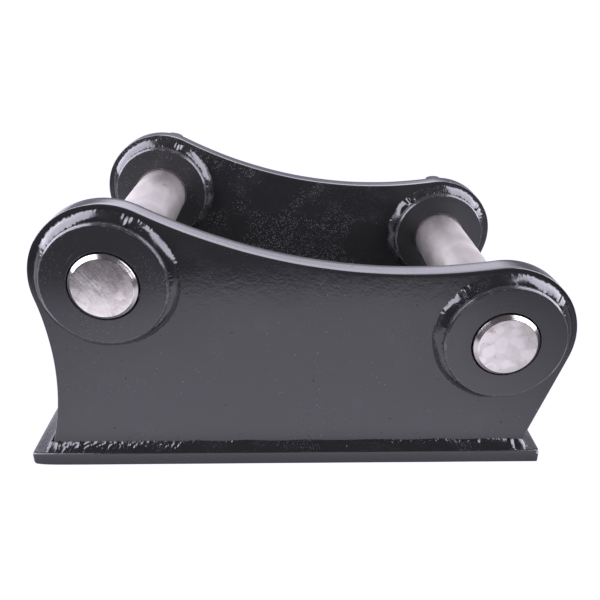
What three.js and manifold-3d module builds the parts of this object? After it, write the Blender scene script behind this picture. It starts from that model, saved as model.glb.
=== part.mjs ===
// Pin-on quick coupler bracket for a small excavator: a weld-on base plate, two profiled ears with
// reinforcing rings round their bores, and two cross-bolted pins that carry the arm and its link.
// Millimetres, +Z up. The origin is the centre of the base plate's underside. +X runs from the high
// pin towards the low one, and +Y from the plain ends of the pins towards their bolted ends.
import * as THREE from 'three';
import { mergeVertices } from 'three/addons/utils/BufferGeometryUtils.js';
import Module from 'manifold-3d';

// Base plate
const BASE_LENGTH = 370;
const BASE_THICKNESS = 10;
const BASE_SIDE_MARGIN = 7;        // base plate that shows beyond each ear

// Ears
const EAR_THICKNESS = 16;
const EAR_GAP = 208;               // between the ears' inner faces
const FOOT_SETBACK = 12.5;         // from the base plate's end to the ear's foot
const LOBE_RADIUS = 51.5;          // round end of the ear about each pin
const TOP_ARC_RADIUS = 400;        // hollow of the top edge
const BACK_ARC_RADIUS = 210;       // hollow of the edge behind the high pin

// Pins, their places and their running gap in every bore
const PIN_RADIUS = 22.5;
const PIN_CHAMFER = 2.5;
const PIN_STAND_OUT = 0.8;         // straight part of the pin beyond the ring or collar
const PIN_RUNNING_GAP = 0.5;
const HIGH_PIN_X = -117.5;
const HIGH_PIN_HEIGHT = 133.2;     // above the base plate
const LOW_PIN_X = 147.9;
const LOW_PIN_HEIGHT = 89.8;       // above the base plate

// Reinforcing rings and bolted collars
const RING_RADIUS = 42;
const OUTER_RING_HEIGHT = 10;      // from the ear's outer face
const INNER_RING_HEIGHT = 13;      // from the ear's inner face
const RING_CHAMFER = 1.2;
const COLLAR_RADIUS = 42;
const COLLAR_HEIGHT = 25;
const HIGH_BOLT_LEAN = THREE.MathUtils.degToRad(13);  // towards the low pin
const LOW_BOLT_LEAN = THREE.MathUtils.degToRad(-2);

// Retaining bolt, washers and lock nut, metric size 8
const BOLT_RADIUS = 4;
const BOLT_LENGTH = 100;           // under the head
const BOLT_HOLE_GAP = 0.75;        // round the bolt in the collar and the pin
const HEX_ACROSS_FLATS = 13;
const HEAD_HEIGHT = 5.3;
const NUT_HEIGHT = 8;
const WASHER_RADIUS = 8;
const WASHER_THICKNESS = 1.6;
const SEAT_DEPTH = 1;              // spot face cut into the collar's round
const SEAT_MARGIN = 1;             // spot face round the washer

// Welds
const RING_WELD_LEG = 6;
const COLLAR_WELD_LEG = 5;
const FOOT_WELD_LEG = 6;
const WELD_BULGE = 0.12;           // crown of a bead, as a share of its leg

// Clearance between pieces that are welded or clamped together
const SEAM = 0.3;

// Facets
const ROUND_STEPS = 40;            // round a pin, ring or collar
const SMALL_STEPS = 24;            // round a bolt, nut or washer
const ARC_STEPS = 16;              // per half of each arc in an ear's outline

const wasm = await Module();
wasm.setup();

const earOuterY = EAR_GAP / 2 + EAR_THICKNESS;
const footHalf = BASE_LENGTH / 2 - FOOT_SETBACK;
const earFootZ = BASE_THICKNESS + SEAM;
const hexRadius = HEX_ACROSS_FLATS / 2 / Math.cos(Math.PI / 6);
const seatRadius = WASHER_RADIUS + SEAT_MARGIN;
const seatHeight = COLLAR_RADIUS - SEAT_DEPTH;
const boltHoleRadius = BOLT_RADIUS + BOLT_HOLE_GAP;
const boltOffset = earOuterY + COLLAR_HEIGHT / 2;
const pinZ = { high: BASE_THICKNESS + HIGH_PIN_HEIGHT, low: BASE_THICKNESS + LOW_PIN_HEIGHT };
const PINS = [
  { side: 'left', x: HIGH_PIN_X, z: pinZ.high, lean: HIGH_BOLT_LEAN },
  { side: 'right', x: LOW_PIN_X, z: pinZ.low, lean: LOW_BOLT_LEAN },
];

const finish = (color, roughness, metalness) => new THREE.MeshStandardMaterial({ color, roughness, metalness });
const blackPaint = () => finish(0x2e2d31, 0.42, 0.1);
const weldPaint = () => finish(0x151416, 0.22, 0.1);
const brightSteel = () => finish(0xc9c4c2, 0.3, 1);
const blackOxide = () => finish(0x3a393c, 0.4, 0.8);

function piece(name, geometry, material) {
  const mesh = new THREE.Mesh(geometry, material);
  mesh.name = name;
  return mesh;
}

// ---- solids that are joined and cut ----

function toSolid(geometry) {
  const bare = geometry.clone();
  bare.deleteAttribute('normal');
  bare.deleteAttribute('uv');
  const merged = mergeVertices(bare, 1e-4);
  return new wasm.Manifold(new wasm.Mesh({
    numProp: 3,
    vertProperties: new Float32Array(merged.attributes.position.array),
    triVerts: new Uint32Array(merged.index.array),
  }));
}

function toGeometry(solid) {
  const mesh = solid.getMesh();
  const geometry = new THREE.BufferGeometry();
  geometry.setAttribute('position', new THREE.BufferAttribute(new Float32Array(mesh.vertProperties), 3));
  geometry.setIndex(new THREE.BufferAttribute(new Uint32Array(mesh.triVerts), 1));
  geometry.computeVertexNormals();
  return geometry;
}

// ---- turned pieces: a closed outline of [radius, distance along the axis], spun about the axis ----

function turned(outline, steps) {
  const points = outline.map(([r, y]) => new THREE.Vector2(r, y));
  return new THREE.LatheGeometry(points, steps);
}

// The outline of a round piece that stands on a face at y and grows towards +Y or -Y.
function standingOn(y, direction, outline) {
  const placed = outline.map(([r, height]) => [r, y + direction * height]);
  return direction > 0 ? placed : placed.reverse();
}

function ringOutline(bore, radius, height, chamfer) {
  return [
    [bore, SEAM],
    [radius, SEAM],
    [radius, height - chamfer],
    [radius - chamfer, height],
    [bore, height],
    [bore, SEAM],
  ];
}

// A fillet weld round a cylinder: a right-angled section whose sloping side is crowned.
function filletOutline(radius, leg) {
  const crown = leg / 2 + WELD_BULGE * leg;
  return [
    [radius + SEAM, SEAM],
    [radius + leg, SEAM],
    [radius + crown, crown],
    [radius + SEAM, leg],
    [radius + SEAM, SEAM],
  ];
}

// ---- base plate and ears ----

function basePlate() {
  const width = 2 * (earOuterY + BASE_SIDE_MARGIN);
  const plate = piece('base_plate', new THREE.BoxGeometry(BASE_LENGTH, width, BASE_THICKNESS), blackPaint());
  plate.position.z = BASE_THICKNESS / 2;
  return plate;
}

// Where circles of radius ra about a and rb about b cross, on the left of the way from a to b.
function crossing(a, ra, b, rb) {
  const gap = b.clone().sub(a);
  const along = (gap.lengthSq() + ra * ra - rb * rb) / (2 * gap.length());
  const across = Math.sqrt(ra * ra - along * along);
  const unit = gap.normalize();
  return a.clone().addScaledVector(unit, along).add(new THREE.Vector2(-unit.y, unit.x).multiplyScalar(across));
}

const angleFrom = (centre, point) => Math.atan2(point.y - centre.y, point.x - centre.x);

// The ear in its own plane: a straight foot, a straight front edge tangent to the low lobe, and two
// hollow arcs that run tangent into the lobes round the pins.
function earShape() {
  const high = new THREE.Vector2(HIGH_PIN_X, pinZ.high);
  const low = new THREE.Vector2(LOW_PIN_X, pinZ.low);
  const backFoot = new THREE.Vector2(-footHalf, earFootZ);
  const frontFoot = new THREE.Vector2(footHalf, earFootZ);
  const topCentre = crossing(low, TOP_ARC_RADIUS + LOBE_RADIUS, high, TOP_ARC_RADIUS + LOBE_RADIUS)
    .multiplyScalar(-1).add(low).add(high);
  const backCentre = crossing(backFoot, BACK_ARC_RADIUS, high, BACK_ARC_RADIUS + LOBE_RADIUS);
  const reach = frontFoot.distanceTo(low);
  const frontAngle = angleFrom(low, frontFoot) + Math.acos(LOBE_RADIUS / reach);

  const shape = new THREE.Shape();
  shape.moveTo(backFoot.x, backFoot.y);
  shape.lineTo(frontFoot.x, frontFoot.y);
  shape.absarc(low.x, low.y, LOBE_RADIUS, frontAngle, angleFrom(low, topCentre), false);
  shape.absarc(topCentre.x, topCentre.y, TOP_ARC_RADIUS,
    angleFrom(topCentre, low), angleFrom(topCentre, high), true);
  shape.absarc(high.x, high.y, LOBE_RADIUS, angleFrom(high, topCentre), angleFrom(high, backCentre), false);
  shape.absarc(backCentre.x, backCentre.y, BACK_ARC_RADIUS,
    angleFrom(backCentre, high), angleFrom(backCentre, backFoot), true);
  for (const pin of PINS) {
    const bore = new THREE.Path();
    bore.absarc(pin.x, pin.z, PIN_RADIUS + PIN_RUNNING_GAP, 0, 2 * Math.PI, true);
    shape.holes.push(bore);
  }
  return shape;
}

// The extrusion grows from the ear's far face towards -Y once its plane is stood up.
function earGeometry(outerY, outward) {
  const geometry = new THREE.ExtrudeGeometry(earShape(), {
    depth: EAR_THICKNESS, bevelEnabled: false, curveSegments: ARC_STEPS,
  });
  const farFaceY = outward > 0 ? outerY : outerY + EAR_THICKNESS;
  return geometry.rotateX(Math.PI / 2).translate(0, farFaceY, 0);
}

// ---- the weld round an ear's foot ----

// A trapezoid of the bead's section, wide at the base plate, carried along X or Y.
function roofPrism(halfWidth, halfLength, alongX) {
  const low = BASE_THICKNESS + SEAM;
  const high = BASE_THICKNESS + FOOT_WELD_LEG;
  const wide = halfWidth + FOOT_WELD_LEG;
  const shape = new THREE.Shape();
  shape.moveTo(-wide, low);
  shape.lineTo(wide, low);
  shape.lineTo(halfWidth, high);
  shape.lineTo(-halfWidth, high);
  shape.closePath();
  const length = 2 * (halfLength + FOOT_WELD_LEG);
  const prism = new THREE.ExtrudeGeometry(shape, { depth: length, bevelEnabled: false });
  prism.translate(0, 0, -length / 2).rotateX(Math.PI / 2);
  return alongX ? prism.rotateZ(Math.PI / 2) : prism;
}

// The bead is the hipped solid common to two crossed prisms, less the ear: the ear is taken out
// once for each way that the seam between them opens.
function footWeld(name, outward) {
  const midY = outward * (earOuterY - EAR_THICKNESS / 2);
  const along = toSolid(roofPrism(EAR_THICKNESS / 2, footHalf, true).translate(0, midY, 0));
  const across = toSolid(roofPrism(footHalf, EAR_THICKNESS / 2, false).translate(0, midY, 0));
  let bead = along.intersect(across);
  for (const [dx, dy] of [[SEAM, 0], [-SEAM, 0], [0, SEAM], [0, -SEAM]]) {
    const moved = earGeometry(outward * earOuterY, outward).translate(dx, dy, -SEAM);
    bead = bead.subtract(toSolid(moved));
  }
  return piece(name, toGeometry(bead), weldPaint());
}

// ---- rings, collars and the welds round them ----

function addRing(group, pin, label, faceY, direction, height) {
  const bore = PIN_RADIUS + PIN_RUNNING_GAP;
  const ring = turned(standingOn(faceY, direction, ringOutline(bore, RING_RADIUS, height, RING_CHAMFER)), ROUND_STEPS);
  const weld = turned(standingOn(faceY, direction, filletOutline(RING_RADIUS, RING_WELD_LEG)), ROUND_STEPS);
  group.add(piece(`${label}_ring_${pin.side}`, ring, blackPaint()));
  group.add(piece(`${label}_ring_weld_${pin.side}`, weld, weldPaint()));
}

// A rod along the retaining bolt's line, between two heights measured from the pin's axis.
function alongBolt(pin, radius, from, to) {
  const rod = new THREE.CylinderGeometry(radius, radius, to - from, SMALL_STEPS);
  rod.translate(0, (from + to) / 2, 0).rotateX(Math.PI / 2).rotateY(pin.lean);
  return toSolid(rod.translate(0, boltOffset, 0));
}

function boltHole(pin) {
  return alongBolt(pin, boltHoleRadius, -2 * COLLAR_RADIUS, 2 * COLLAR_RADIUS);
}

function cutSeats(pin, solid) {
  return solid
    .subtract(alongBolt(pin, seatRadius, seatHeight, 2 * COLLAR_RADIUS))
    .subtract(alongBolt(pin, seatRadius, -2 * COLLAR_RADIUS, -seatHeight));
}

function addCollar(group, pin) {
  const bore = PIN_RADIUS + PIN_RUNNING_GAP;
  const outline = standingOn(earOuterY, 1, ringOutline(bore, COLLAR_RADIUS, COLLAR_HEIGHT, RING_CHAMFER));
  const collar = cutSeats(pin, toSolid(turned(outline, ROUND_STEPS))).subtract(boltHole(pin));
  group.add(piece(`far_collar_${pin.side}`, toGeometry(collar), blackPaint()));
  const bead = toSolid(turned(standingOn(earOuterY, 1, filletOutline(COLLAR_RADIUS, COLLAR_WELD_LEG)), ROUND_STEPS));
  group.add(piece(`far_collar_weld_${pin.side}`, toGeometry(cutSeats(pin, bead)), weldPaint()));
}

// ---- pins and what holds them ----

function addPin(group, pin) {
  const start = -(earOuterY + OUTER_RING_HEIGHT + PIN_STAND_OUT + PIN_CHAMFER);
  const end = earOuterY + COLLAR_HEIGHT + PIN_STAND_OUT + PIN_CHAMFER;
  const bar = turned([
    [0, start],
    [PIN_RADIUS - PIN_CHAMFER, start],
    [PIN_RADIUS, start + PIN_CHAMFER],
    [PIN_RADIUS, end - PIN_CHAMFER],
    [PIN_RADIUS - PIN_CHAMFER, end],
    [0, end],
  ], ROUND_STEPS);
  group.add(piece(`${pin.side}_pin`, toGeometry(toSolid(bar).subtract(boltHole(pin))), brightSteel()));
}

function hexShape() {
  const shape = new THREE.Shape();
  for (let corner = 0; corner < 6; corner += 1) {
    const angle = Math.PI / 2 + corner * Math.PI / 3;
    const x = hexRadius * Math.cos(angle);
    const y = hexRadius * Math.sin(angle);
    if (corner === 0) {
      shape.moveTo(x, y);
    } else {
      shape.lineTo(x, y);
    }
  }
  shape.closePath();
  return shape;
}

function hexPrism(bottom, height, bore) {
  const shape = hexShape();
  if (bore > 0) {
    const hole = new THREE.Path();
    hole.absarc(0, 0, bore, 0, 2 * Math.PI, true);
    shape.holes.push(hole);
  }
  const prism = new THREE.ExtrudeGeometry(shape, {
    depth: height, bevelEnabled: false, curveSegments: SMALL_STEPS / 2,
  });
  return prism.translate(0, 0, bottom);
}

function washer(name, bottom) {
  const bore = boltHoleRadius;
  const outline = [
    [bore, bottom],
    [WASHER_RADIUS, bottom],
    [WASHER_RADIUS, bottom + WASHER_THICKNESS],
    [bore, bottom + WASHER_THICKNESS],
    [bore, bottom],
  ];
  const geometry = turned(outline, SMALL_STEPS).rotateX(Math.PI / 2);
  return piece(name, geometry, blackOxide());
}

// The bolt stands on its own line through the pin: Z in this group runs along it, from the pin's axis.
function addRetainer(group, pin) {
  const retainer = new THREE.Group();
  retainer.position.set(0, boltOffset, 0);
  retainer.rotation.y = pin.lean;

  const upperWasherZ = seatHeight + SEAM;
  const headZ = upperWasherZ + WASHER_THICKNESS + SEAM;
  const lowerWasherZ = -seatHeight - SEAM - WASHER_THICKNESS;
  const nutZ = lowerWasherZ - SEAM - NUT_HEIGHT;

  const shank = new THREE.CylinderGeometry(BOLT_RADIUS, BOLT_RADIUS, BOLT_LENGTH + HEAD_HEIGHT / 2, SMALL_STEPS);
  shank.rotateX(Math.PI / 2).translate(0, 0, headZ + HEAD_HEIGHT / 2 - (BOLT_LENGTH + HEAD_HEIGHT / 2) / 2);
  const bolt = toSolid(hexPrism(headZ, HEAD_HEIGHT, 0)).add(toSolid(shank));

  retainer.add(piece(`${pin.side}_bolt`, toGeometry(bolt), blackOxide()));
  retainer.add(washer(`${pin.side}_upper_washer`, upperWasherZ));
  retainer.add(washer(`${pin.side}_lower_washer`, lowerWasherZ));
  retainer.add(piece(`${pin.side}_lock_nut`, hexPrism(nutZ, NUT_HEIGHT, BOLT_RADIUS + SEAM), blackOxide()));
  group.add(retainer);
}

// ---- the coupler ----

const coupler = new THREE.Group();
coupler.name = 'quick_coupler';
coupler.add(basePlate());
coupler.add(piece('near_ear', earGeometry(-earOuterY, -1), blackPaint()));
coupler.add(piece('far_ear', earGeometry(earOuterY, 1), blackPaint()));
coupler.add(footWeld('near_foot_weld', -1));
coupler.add(footWeld('far_foot_weld', 1));

for (const pin of PINS) {
  const station = new THREE.Group();
  station.position.set(pin.x, 0, pin.z);
  addRing(station, pin, 'near_outer', -earOuterY, -1, OUTER_RING_HEIGHT);
  addRing(station, pin, 'near_inner', -EAR_GAP / 2, 1, INNER_RING_HEIGHT);
  addRing(station, pin, 'far_inner', EAR_GAP / 2, -1, INNER_RING_HEIGHT);
  addCollar(station, pin);
  addPin(station, pin);
  addRetainer(station, pin);
  coupler.add(station);
}

export default coupler;
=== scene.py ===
# %% [markdown]
# # A two-pin weld-on bracket in Blender
#
# Two profiled ears stand on a flat base plate. Rings are welded round every bore, a turned pin runs
# through each pair of bores, and a bolt across a welded collar holds each pin. The shapes that follow
# are worked out as arrays with numpy, in metres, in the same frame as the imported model.

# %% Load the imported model
import math
import bmesh
import bpy
import numpy as np
from mathutils import Matrix, Vector
from mathutils.geometry import tessellate_polygon


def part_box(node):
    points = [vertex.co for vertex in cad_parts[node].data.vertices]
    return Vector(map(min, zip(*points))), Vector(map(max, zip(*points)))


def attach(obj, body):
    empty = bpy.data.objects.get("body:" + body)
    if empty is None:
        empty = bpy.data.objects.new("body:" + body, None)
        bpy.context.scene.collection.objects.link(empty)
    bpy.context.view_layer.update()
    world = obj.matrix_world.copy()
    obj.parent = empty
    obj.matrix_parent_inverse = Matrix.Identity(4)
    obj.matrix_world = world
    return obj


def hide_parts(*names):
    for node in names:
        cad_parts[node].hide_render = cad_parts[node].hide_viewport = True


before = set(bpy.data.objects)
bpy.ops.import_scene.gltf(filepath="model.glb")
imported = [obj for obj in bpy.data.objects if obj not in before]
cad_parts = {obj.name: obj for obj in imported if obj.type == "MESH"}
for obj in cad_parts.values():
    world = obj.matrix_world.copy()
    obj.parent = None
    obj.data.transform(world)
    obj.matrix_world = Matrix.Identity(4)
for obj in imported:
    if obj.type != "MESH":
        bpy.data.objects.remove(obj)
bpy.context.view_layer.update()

MM = 0.001

# %% [markdown]
# ## Sizes
#
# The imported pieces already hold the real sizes, so most are read from their boxes. A round piece's
# box gives its centre and its radius. Only what a box can't show, such as the hollow of an arc, is
# written out here.

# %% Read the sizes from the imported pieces
def middle_and_radius(node):
    """Centre (x, z) and radius of a round piece whose axis runs along Y, in mm."""
    low, high = (np.array(c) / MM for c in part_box(node))
    return (low + high)[[0, 2]] / 2, (high[0] - low[0]) / 2


SIDES = ("left", "right")
pin_at = {s: middle_and_radius(f"{s}_pin")[0] for s in SIDES}
PIN_R = middle_and_radius("left_pin")[1]
RING_R = middle_and_radius("near_outer_ring_left")[1]
COLLAR_R, COLLAR_LENGTH = 42.0, 25.0
BORE_R = PIN_R + 0.5
base_low, base_high = (np.array(c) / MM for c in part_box("base_plate"))
EAR_OUT, EAR_IN = 120.0, 104.0
FOOT_HALF, FOOT_Z = 172.5, base_high[2]
LOBE_R, TOP_ARC_R, BACK_ARC_R = 51.5, 400.0, 210.0
LEAN = {"left": math.radians(13), "right": math.radians(-2)}
SEAT = COLLAR_R - 1.0          # from a pin's axis to the flats under the washers
print("pins at", {s: pin_at[s].round(2) for s in SIDES})
print("pin radius", round(PIN_R, 3), "ring radius", round(RING_R, 3))

# %% [markdown]
# ## Camera
#
# The view is a plain pinhole, held above the bench and in front of it. Three angles turn it: down,
# then a little to the right, then a slight roll.

# %% Camera
def camera_axes(pitch, yaw, roll):
    """Right, up and forward of a camera that looks along +Y, turned down, then right, then rolled."""
    forward = Vector((math.sin(yaw) * math.cos(pitch), math.cos(yaw) * math.cos(pitch), -math.sin(pitch)))
    level = Vector((math.cos(yaw), -math.sin(yaw), 0))
    rise = level.cross(forward)
    right = level * math.cos(roll) + rise * math.sin(roll)
    up = rise * math.cos(roll) - level * math.sin(roll)
    return right, up, forward


def placed(name, data):
    """A new object in the scene for a mesh, a camera or a light, at the origin."""
    made = bpy.data.objects.new(name, data)
    bpy.context.collection.objects.link(made)
    return made


camera_data = bpy.data.cameras.new("bench_camera")
camera_data.sensor_width = 36.0
camera_data.lens = 40.33
camera_data.clip_start, camera_data.clip_end = 0.01, 20
camera = placed("bench_camera", camera_data)
right, up, forward = camera_axes(math.radians(24.456), math.radians(1.193), math.radians(0.310))
turn = Matrix((right, up, -forward)).transposed().to_4x4()
camera.matrix_world = Matrix.Translation((0.0003, -0.52719, 0.31409)) @ turn
bpy.context.scene.camera = camera
bpy.context.scene.view_settings.view_transform = "Standard"
print("camera height", round(camera.matrix_world.translation.z, 3))

# %% [markdown]
# ## Node trees as expressions
#
# A finish is a small sum of patterns. Wrapping a socket in a class with the usual operators lets the
# sum be written as one: `paint + dust * 0.2`. Every other node comes from the one method `node`.

# %% One class for shader maths
def both_ways(operation):
    """An operator and its reflected form, which keeps the order of its two sides."""
    return (lambda self, other: self.math(operation, self, other),
            lambda self, other: self.math(operation, other, self))


class Value:
    """An output socket of a node tree, with arithmetic that adds Math nodes."""

    def __init__(self, tree, socket=None):
        self.tree, self.socket = tree, socket

    def node(self, kind, settings=None, inputs=None, out=0):
        """A new node of this type: its settings first, then a value or a link for each socket."""
        made = self.tree.nodes.new(kind)
        for key, setting in (settings or {}).items():
            setattr(made, key, setting)
        for key, given in (inputs or {}).items():
            if isinstance(given, Value):
                self.tree.links.new(given.socket, made.inputs[key])
            else:
                made.inputs[key].default_value = given
        return Value(self.tree, made.outputs[out]) if made.outputs else Value(self.tree)

    def math(self, operation, first, second=0.0):
        return self.node("ShaderNodeMath", {"operation": operation}, {0: first, 1: second})

    __add__, __radd__ = both_ways("ADD")
    __sub__, __rsub__ = both_ways("SUBTRACT")
    __mul__, __rmul__ = both_ways("MULTIPLY")

    def __abs__(self):
        return self.math("ABSOLUTE", self)

    def step(self, low, high):
        """0 below low, 1 above high, and a smooth rise between. Low above high turns it round."""
        if low > high:
            return 1.0 - self.step(high, low)
        return self.node("ShaderNodeMapRange", {"interpolation_type": "SMOOTHSTEP"},
                         {0: self, 1: low, 2: high})

    def scaled(self, x, y, z):
        return self.node("ShaderNodeVectorMath", {"operation": "MULTIPLY"}, {0: self, 1: (x, y, z)})

    def along(self, direction):
        """How far this point lies along a direction."""
        return self.node("ShaderNodeVectorMath", {"operation": "DOT_PRODUCT"}, {0: self, 1: direction}, out=1)

    def away_from(self, point):
        """Distance of this point from a fixed one."""
        return self.node("ShaderNodeVectorMath", {"operation": "DISTANCE"}, {0: self, 1: point}, out=1)

    def noise(self, scale, detail=2.0, rough=0.5, distortion=0.0):
        return self.node("ShaderNodeTexNoise", None, {"Vector": self, "Scale": scale, "Detail": detail,
                                                      "Roughness": rough, "Distortion": distortion})

    def cells(self, scale, out=0):
        return self.node("ShaderNodeTexVoronoi", None, {"Vector": self, "Scale": scale}, out=out)

    def blend(self, low, high):
        """The colour low where this is 0 and high where it is 1."""
        return self.node("ShaderNodeMix", {"data_type": "RGBA"}, {0: self, 6: low, 7: high}, out=2)

    def attribute(self, name, out=2):
        return self.node("ShaderNodeAttribute", {"attribute_name": name}, out=out)


def empty_tree(owner):
    """The start of a material's or a world's node tree, with nothing in it."""
    owner.use_nodes = True
    owner.node_tree.nodes.clear()
    return Value(owner.node_tree)


def finish(name, make):
    """A material whose node tree is filled by make(start, position), which returns the shader's inputs."""
    material = bpy.data.materials.new(name)
    start = empty_tree(material)
    position = start.node("ShaderNodeTexCoord", out=3)
    shader = start.node("ShaderNodeBsdfPrincipled", None, make(start, position))
    start.node("ShaderNodeOutputMaterial", None, {0: shader})
    print("finish", name, "has", len(start.tree.nodes), "nodes")
    return material


# %% [markdown]
# ## Patterns that several finishes share
#
# Dust sits in drifts of tiny grains, a scratch is a stretched streak that a slower pattern breaks
# up, and sprayed paint never dries quite flat. Each is a function of the place on the piece.

# %% Dust, scratches and the skin of the paint
def grey(v, warm=0.0):
    """A grey with a touch of red taken from its blue, as a node colour."""
    return (v * (1 + warm), v, v * (1 - warm), 1.0)


def grains(place, scale, size, share, drift, spread):
    """Round grains: cells of a random few (share) whose middles are near, where slow noise is high."""
    near = place.cells(scale).step(size, size * 0.5)
    chosen = place.cells(scale, out=1).along((1, 0, 0)).step(1 - share, 1 - share + 0.02)
    return near * chosen * place.noise(drift, 3).step(spread, spread + 0.12)


def hairlines(place, direction, across, length, width, share):
    """Thin streaks along a direction: noise drawn out to length, cut high, and broken by slow noise."""
    along = place.along(direction) * (1 / length)
    over = place.along(across) * (1 / width)
    drawn = place.node("ShaderNodeCombineXYZ", None, {0: along, 1: over, 2: 0.0})
    return drawn.noise(1.0, 0).step(share, share + 0.04) * place.noise(22, 2).step(0.5, 0.56)


def bump(start, height, depth):
    """A normal tilted as if the surface stood height times depth metres proud."""
    return start.node("ShaderNodeBump", None, {"Height": height, "Distance": depth})


# %% [markdown]
# ## Satin black enamel
#
# The plates are rolled and flame-cut, then sprayed black. The paint copies the mill skin of the
# steel, so it mirrors softly on the faces and shows the lengthwise marks of the cut on the edges.
# A mesh attribute called `rim` tells the two apart. Steel shows where an edge was knocked. Dust
# lies between the ears, where nothing wipes it off, and thickest on the far ear.

# %% Enamel for the plates
CHIP = (base_high[0] * MM, base_low[1] * MM, (base_high[2] - 1.5) * MM)


def plate_enamel(start, place):
    rim = start.attribute("rim")
    skin = place.noise(520, 2, 0.5) * 0.6 + place.noise(170, 2) * 0.7
    slow = place.noise(11, 2)
    cut_marks = place.scaled(45, 1500, 45).noise(1.0, 3, 0.6)
    dust = grains(place, 1250, 0.27, 0.14, 24, 0.5)
    stray = grains(place, 520, 0.16, 0.05, 9, 0.4)
    scratch = hairlines(place, (0.94, 0, 0.34), (-0.34, 0, 0.94), 0.03, 0.0003, 0.78)
    scrape = hairlines(place, (0.5, 0, -0.86), (0.86, 0, 0.5), 0.015, 0.0003, 0.76)
    pits = grains(place, 160, 0.12, 0.08, 7, 0.3)
    smear = place.scaled(1, 1, 2.2).noise(30, 4, 0.65).step(0.45, 0.8)
    chipped = (place.away_from(CHIP) + (place.noise(900, 3) - 0.5) * 0.004).step(0.0022, 0.0017)

    between = abs(place.along((0, 1, 0))).step(0.1048, 0.104)
    film = place.noise(33, 4, 0.7).step(0.45, 0.8) * (0.1 + between * 0.07)
    sheltered = place.along((0, 1, 0)).step(0.095, 0.1035)
    clouds = grains(place, 1150, 0.46, 0.34, 15, 0.44) * 0.7 + grains(place, 640, 0.26, 0.07, 17, 0.44)
    settled = clouds * between * (0.28 + sheltered * 0.72)
    grime = (dust * 0.6 + settled * 0.9 + stray * 0.9 + scratch * 0.07 + film).step(0.0, 1.0)
    paint = grime.blend(grey(0.0175), grey(0.25, 0.03))
    paint = pits.blend(paint, grey(0.003))
    colour = chipped.blend(paint, grey(0.34, 0.08))
    rough = 0.13 + slow * 0.04 + smear * 0.05 + grime * 0.25 - rim * 0.05
    relief = skin * (1.0 - rim * 0.75) + cut_marks * rim * 0.25 - pits * 3.0 - scrape * 0.3 - chipped * 2.0
    return {"Base Color": colour, "Roughness": rough, "Metallic": chipped * 0.9, "IOR": 1.5,
            "Normal": bump(start, relief, 0.00009)}


enamel = finish("satin_black_enamel", plate_enamel)

# %% [markdown]
# ## Enamel over turned faces
#
# The rings were faced on a lathe before they were welded on, and the paint is thin enough to show
# it. The attribute `turn` holds each point's distance from the pin's axis, so marks drawn along it
# are circles. The attribute `bore` is 1 at the mouth of a bore where the arm's bush rubs it bare.

# %% Enamel for the rings and collars
def ring_enamel(start, place):
    rim = start.attribute("rim")
    turn = start.attribute("turn")
    drawn = start.node("ShaderNodeCombineXYZ", None,
                       {0: turn * 2600.0, 1: place.along((7, 0, 3)), 2: place.along((0, 9, 0))})
    circles = drawn.noise(1.0, 2, 0.6)
    skin = place.noise(500, 3, 0.55)
    high_end = place.along((1, 0, 0)).step(0.08, -0.06)
    dust = grains(place, 1300, 0.36, 0.16, 38, 0.44) * (0.15 + high_end * 0.85)
    scratch = hairlines(place, (0.6, 0, 0.8), (-0.8, 0, 0.6), 0.02, 0.00025, 0.76)
    wear = (rim * 1.2 - place.noise(260, 3).step(0.3, 0.7)).step(0.55, 0.8)
    rubbed = (start.attribute("bore") * 1.5 - place.noise(140, 3)).step(0.35, 0.7)
    film = place.noise(40, 4, 0.7).step(0.45, 0.8)
    grime = (dust * 0.7 + scratch * 0.25 + film * 0.06).step(0.0, 1.0)
    colour = wear.blend(grime.blend(grey(0.022), grey(0.24, 0.04)), grey(0.07, 0.05))
    colour = rubbed.blend(colour, (0.3, 0.26, 0.23, 1))
    rough = 0.15 + place.noise(30, 2) * 0.06 + grime * 0.25 + rubbed * 0.1
    relief = circles * 0.5 + skin * 0.9 - scratch * 0.6
    return {"Base Color": colour, "Roughness": rough, "Metallic": rubbed * 0.9, "IOR": 1.5,
            "Normal": bump(start, relief, 0.00007)}


ring_paint = finish("enamel_over_turning", ring_enamel)

# %% [markdown]
# ## Gloss on the weld beads
#
# Paint pools on a bead and dries glossy. The ripples are in the mesh, so the finish only adds the
# fine skin of scale below the paint, a few gas pores, and drifts of dust. The attribute `toe`
# is 1 where the bead meets the plate, and a brown tint of heat and old primer shows through there.

# %% Enamel for the beads
def bead_enamel(start, place):
    toe = start.attribute("toe")
    scale = place.noise(700, 4, 0.6)
    lumps = place.noise(190, 2)
    pores = grains(place, 330, 0.16, 0.1, 14, 0.45)
    dust = grains(place, 1500, 0.42, 0.4, 30, 0.52)
    heat = (toe * place.noise(40, 3).step(0.35, 0.7)).step(0.5, 1.0)
    colour = heat.blend(grey(0.009), (0.045, 0.02, 0.013, 1))
    colour = (dust * 0.5).blend(colour, grey(0.17))
    colour = pores.blend(colour, grey(0.002))
    rough = 0.13 + place.noise(50, 2).step(0.4, 0.8) * 0.14 + toe * 0.1 + dust * 0.3
    relief = scale * 0.45 + lumps * 0.8 - pores * 5.0
    return {"Base Color": colour, "Roughness": rough, "Metallic": 0.0, "IOR": 1.5,
            "Normal": bump(start, relief, 0.00009)}


bead_paint = finish("gloss_enamel_on_weld", bead_enamel)
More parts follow.
